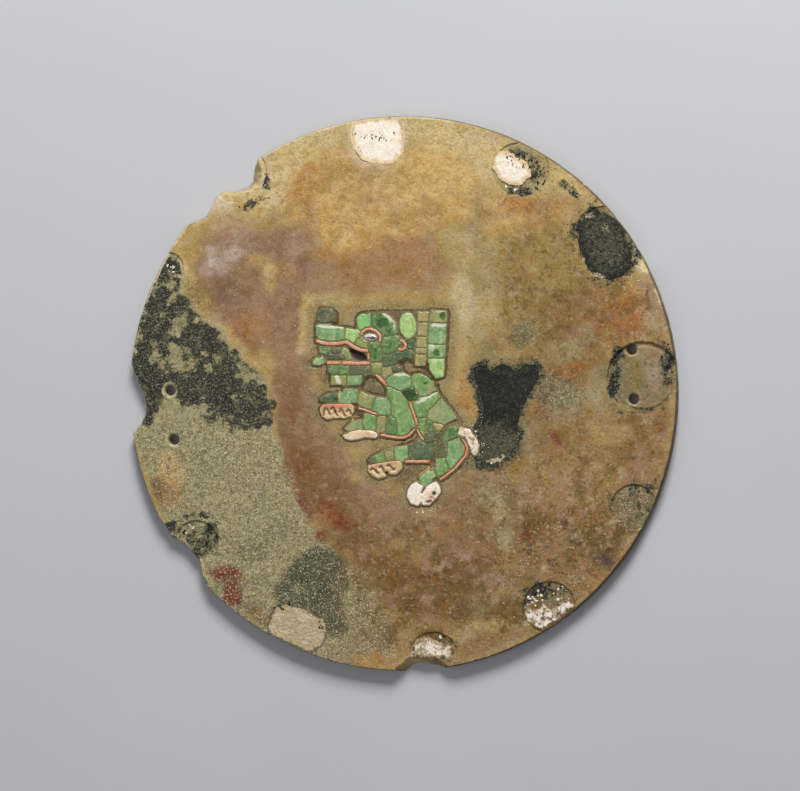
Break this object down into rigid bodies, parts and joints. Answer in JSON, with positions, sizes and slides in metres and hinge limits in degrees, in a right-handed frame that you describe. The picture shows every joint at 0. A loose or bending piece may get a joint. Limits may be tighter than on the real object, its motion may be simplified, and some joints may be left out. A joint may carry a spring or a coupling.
{
  "type": "mosaic mirror",
  "caption": "Round thin stone mirror back with rim seats, suspension holes and a sunk field that holds a mosaic of a walking animal in green stone and shell.",
  "frame": {"origin": "centre of the disc on its underside", "axes": "+Z out of the mosaic face; +Y from the animal's feet to its head; the animal walks towards -X"},
  "size_m": [0.2693, 0.27, 0.0081],
  "materials": {
    "stone": "mottled ochre slate, ground smooth, stained and worn",
    "mastic": "dark brown organic mastic, dull and grainy",
    "adhesive": "black residue of adhesive, rough, with pale grains",
    "green_bright": "polished bright green stone, semi-gloss",
    "green_olive": "polished yellow-green stone, semi-gloss",
    "green_dark": "polished dark grey-green stone, semi-gloss",
    "coral_shell": "orange-pink shell, worn satin",
    "tan_shell": "orange-tan carved shell, matt and chalky",
    "white_shell": "weathered white shell, chalky",
    "rim_fill": "tan-cream fill, matt",
    "eye": "polished silvery inlay, glossy"
  },
  "bodies": {
    "root": {"ankle_tile": "green_bright", "arm_tiles": "green_bright", "armpit_tile": "green_dark", "back_tile": "green_bright", "belly_tiles": "green_olive", "brow_tile": "green_bright", "cheek_tile": "green_bright", "chin_tiles": "green_bright", "crown_tile": "green_dark", "ear_back_tile": "green_bright", "ear_shell": "coral_shell", "ear_tile": "green_bright", "eye_lens": "eye", "eye_rim_shell": "coral_shell", "figure_mastic": "mastic", "flank_shell": "coral_shell", "flank_tile": "green_bright", "foot_tile": "green_bright", "foreleg_lower_paw": "white_shell", "foreleg_lower_shell": "coral_shell", "foreleg_lower_tiles": "green_bright", "foreleg_upper_paw": "tan_shell", "foreleg_upper_shell": "coral_shell", "foreleg_upper_tiles": "green_bright", "groin_shell": "coral_shell", "headdress_back_tiles": "green_bright", "headdress_front_tiles": "green_olive", "heel_shell": "white_shell", "hind_leg_back_paw": "white_shell", "hind_leg_back_shell": "coral_shell", "hind_leg_front_paw": "tan_shell", "hind_leg_front_shell": "coral_shell", "hind_leg_front_tiles": "green_bright", "horn_tile": "green_dark", "jaw_hinge_tiles": "green_bright", "lip_tile": "green_bright", "lower_jaw_tiles": "green_bright", "lower_lip_shell_back": "coral_shell", "lower_lip_shell_front": "coral_shell", "mouth_corner_shell": "coral_shell", "neck_tile": "green_dark", "nose_bridge_tile": "green_olive", "rump_tile": "green_olive", "seat_01_shell": "white_shell", "seat_02_shell": "white_shell", "seat_03_adhesive": "adhesive", "seat_06_shell": "white_shell", "seat_07_shell": "white_shell", "seat_08_fill": "rim_fill", "shin_tiles": "green_bright", "shoulder_tile": "green_bright", "snout_tile": "green_bright", "stone_disc": "stone", "tail_adhesive": "adhesive", "teeth_tiles": "green_olive", "thigh_tile": "green_bright", "throat_shell": "coral_shell", "throat_tiles": "green_olive", "under_eye_tile": "green_bright", "upper_lip_shell": "coral_shell"}
  },
  "joints": []
}
